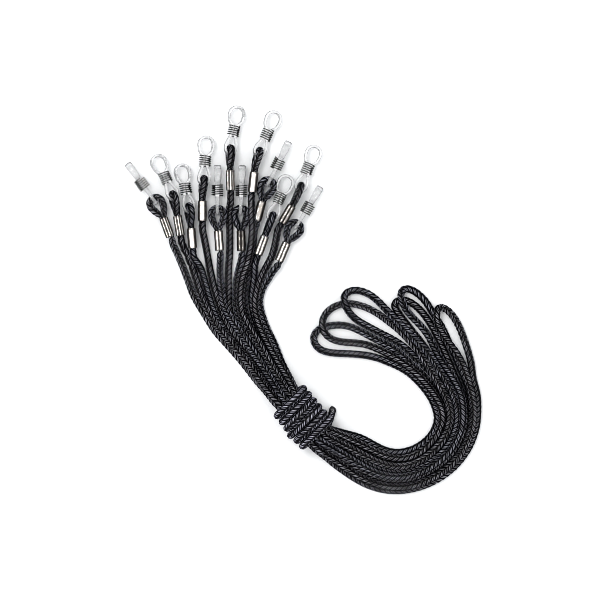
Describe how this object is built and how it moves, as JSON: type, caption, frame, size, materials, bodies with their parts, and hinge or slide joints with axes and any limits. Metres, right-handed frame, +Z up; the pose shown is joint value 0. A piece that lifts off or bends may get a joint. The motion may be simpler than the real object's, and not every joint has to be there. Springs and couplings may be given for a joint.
{
  "type": "eyeglass retainer strap",
  "caption": "Tied hank of braided eyeglass cords folded in half; each cord end is crimped in a ferrule and carries a clear silicone loop with a sliding coil that grips a spectacle arm.",
  "frame": {"origin": "centre of the hank's footprint on the table it lies on", "axes": "+Z up, +Y towards the fanned-out ends, +X towards the folded middles"},
  "size_m": [0.1498, 0.163, 0.0191],
  "materials": {
    "braided_cord": "braided nylon, satin",
    "ferrule_metal": "polished nickel plate",
    "coil_steel": "bright spring wire",
    "clear_silicone": "clear, slightly hazy"
  },
  "bodies": {
    "hank": {"ferrule_01": "ferrule_metal", "ferrule_02": "ferrule_metal", "ferrule_03": "ferrule_metal", "ferrule_04": "ferrule_metal", "ferrule_05": "ferrule_metal", "ferrule_06": "ferrule_metal", "ferrule_07": "ferrule_metal", "ferrule_08": "ferrule_metal", "ferrule_09": "ferrule_metal", "ferrule_10": "ferrule_metal", "ferrule_11": "ferrule_metal", "ferrule_12": "ferrule_metal", "strap_cord_1": "braided_cord", "strap_cord_2": "braided_cord", "strap_cord_3": "braided_cord", "strap_cord_4": "braided_cord", "strap_cord_5": "braided_cord", "strap_cord_6": "braided_cord", "tie_cord": "braided_cord"},
    "connector_01": {"silicone_loop_01": "clear_silicone"},
    "slider_01": {"coil_01": "coil_steel"},
    "connector_02": {"silicone_loop_02": "clear_silicone"},
    "slider_02": {"coil_02": "coil_steel"},
    "connector_03": {"silicone_loop_03": "clear_silicone"},
    "slider_03": {"coil_03": "coil_steel"},
    "connector_04": {"silicone_loop_04": "clear_silicone"},
    "slider_04": {"coil_04": "coil_steel"},
    "connector_05": {"silicone_loop_05": "clear_silicone"},
    "slider_05": {"coil_05": "coil_steel"},
    "connector_06": {"silicone_loop_06": "clear_silicone"},
    "slider_06": {"coil_06": "coil_steel"},
    "connector_07": {"silicone_loop_07": "clear_silicone"},
    "slider_07": {"coil_07": "coil_steel"},
    "connector_08": {"silicone_loop_08": "clear_silicone"},
    "slider_08": {"coil_08": "coil_steel"},
    "connector_09": {"silicone_loop_09": "clear_silicone"},
    "slider_09": {"coil_09": "coil_steel"},
    "connector_10": {"silicone_loop_10": "clear_silicone"},
    "slider_10": {"coil_10": "coil_steel"},
    "connector_11": {"silicone_loop_11": "clear_silicone"},
    "slider_11": {"coil_11": "coil_steel"},
    "connector_12": {"silicone_loop_12": "clear_silicone"},
    "slider_12": {"coil_12": "coil_steel"}
  },
  "joints": [
    {"name": "end_01_connector_lift", "type": "hinge", "parent": "hank", "child": "connector_01", "pos_m": [-0.06306, 0.04254, 0.00368], "axis": [0.809, 0.5878, 0], "range_deg": [0, 60]},
    {"name": "end_01_coil_slide", "type": "slide", "parent": "connector_01", "child": "slider_01", "axis": [-0.5878, 0.809, 0], "range_m": [0, 0.0045], "deforming": ["silicone_loop_01"]},
    {"name": "end_02_connector_lift", "type": "hinge", "parent": "hank", "child": "connector_02", "pos_m": [-0.0536, 0.04206, 0.00424], "axis": [0.884, 0.3778, -0.2753], "range_deg": [0, 45]},
    {"name": "end_02_coil_slide", "type": "slide", "parent": "connector_02", "child": "slider_02", "axis": [-0.4062, 0.9123, -0.0523], "range_m": [0, 0.0045], "deforming": ["silicone_loop_02"]},
    {"name": "end_03_connector_lift", "type": "hinge", "parent": "hank", "child": "connector_03", "pos_m": [-0.04732, 0.03685, 0.00424], "axis": [0.9367, 0.1656, -0.3086], "range_deg": [0, 45]},
    {"name": "end_03_coil_slide", "type": "slide", "parent": "connector_03", "child": "slider_03", "axis": [-0.1905, 0.9803, -0.0523], "range_m": [0, 0.0045], "deforming": ["silicone_loop_03"]},
    {"name": "end_04_connector_lift", "type": "hinge", "parent": "hank", "child": "connector_04", "pos_m": [-0.04164, 0.04831, 0.00424], "axis": [0.9757, -0.0706, -0.2076], "range_deg": [0, 45]},
    {"name": "end_04_coil_slide", "type": "slide", "parent": "connector_04", "child": "slider_04", "axis": [0.061, 0.9968, -0.0523], "range_m": [0, 0.0045], "deforming": ["silicone_loop_04"]},
    {"name": "end_05_connector_lift", "type": "hinge", "parent": "hank", "child": "connector_05", "pos_m": [-0.03589, 0.03843, 0.00368], "axis": [1, 0, 0], "range_deg": [0, 60]},
    {"name": "end_05_coil_slide", "type": "slide", "parent": "connector_05", "child": "slider_05", "axis": [0, 1, 0], "range_m": [0, 0.0045], "deforming": ["silicone_loop_05"]},
    {"name": "end_06_connector_lift", "type": "hinge", "parent": "hank", "child": "connector_06", "pos_m": [-0.03081, 0.06118, 0.00424], "axis": [0.9517, -0.1893, -0.2416], "range_deg": [0, 45]},
    {"name": "end_06_coil_slide", "type": "slide", "parent": "connector_06", "child": "slider_06", "axis": [0.182, 0.9819, -0.0523], "range_m": [0, 0.0045], "deforming": ["silicone_loop_06"]},
    {"name": "end_07_connector_lift", "type": "hinge", "parent": "hank", "child": "connector_07", "pos_m": [-0.02609, 0.03834, 0.00368], "axis": [0.9994, -0.0349, 0], "range_deg": [0, 60]},
    {"name": "end_07_coil_slide", "type": "slide", "parent": "connector_07", "child": "slider_07", "axis": [0.0349, 0.9994, 0], "range_m": [0, 0.0045], "deforming": ["silicone_loop_07"]},
    {"name": "end_08_connector_lift", "type": "hinge", "parent": "hank", "child": "connector_08", "pos_m": [-0.01906, 0.06022, 0.00424], "axis": [0.8997, -0.3927, -0.1905], "range_deg": [0, 45]},
    {"name": "end_08_coil_slide", "type": "slide", "parent": "connector_08", "child": "slider_08", "axis": [0.3902, 0.9192, -0.0523], "range_m": [0, 0.0045], "deforming": ["silicone_loop_08"]},
    {"name": "end_09_connector_lift", "type": "hinge", "parent": "hank", "child": "connector_09", "pos_m": [-0.01381, 0.05014, 0.00368], "axis": [0.8988, -0.4384, 0], "range_deg": [0, 60]},
    {"name": "end_09_coil_slide", "type": "slide", "parent": "connector_09", "child": "slider_09", "axis": [0.4384, 0.8988, 0], "range_m": [0, 0.0045], "deforming": ["silicone_loop_09"]},
    {"name": "end_10_connector_lift", "type": "hinge", "parent": "hank", "child": "connector_10", "pos_m": [-0.01347, 0.03319, 0.00424], "axis": [0.9268, -0.369, -0.0697], "range_deg": [0, 45]},
    {"name": "end_10_coil_slide", "type": "slide", "parent": "connector_10", "child": "slider_10", "axis": [0.366, 0.9291, -0.0523], "range_m": [0, 0.0045], "deforming": ["silicone_loop_10"]},
    {"name": "end_11_connector_lift", "type": "hinge", "parent": "hank", "child": "connector_11", "pos_m": [-0.00162, 0.04555, 0.00424], "axis": [0.93, -0.3609, -0.0697], "range_deg": [0, 45]},
    {"name": "end_11_coil_slide", "type": "slide", "parent": "connector_11", "child": "slider_11", "axis": [0.3579, 0.9323, -0.0523], "range_m": [0, 0.0045], "deforming": ["silicone_loop_11"]},
    {"name": "end_12_connector_lift", "type": "hinge", "parent": "hank", "child": "connector_12", "pos_m": [-0.00197, 0.03199, 0.00368], "axis": [0.8526, -0.5225, 0], "range_deg": [0, 60]},
    {"name": "end_12_coil_slide", "type": "slide", "parent": "connector_12", "child": "slider_12", "axis": [0.5225, 0.8526, 0], "range_m": [0, 0.0045], "deforming": ["silicone_loop_12"]}
  ]
}
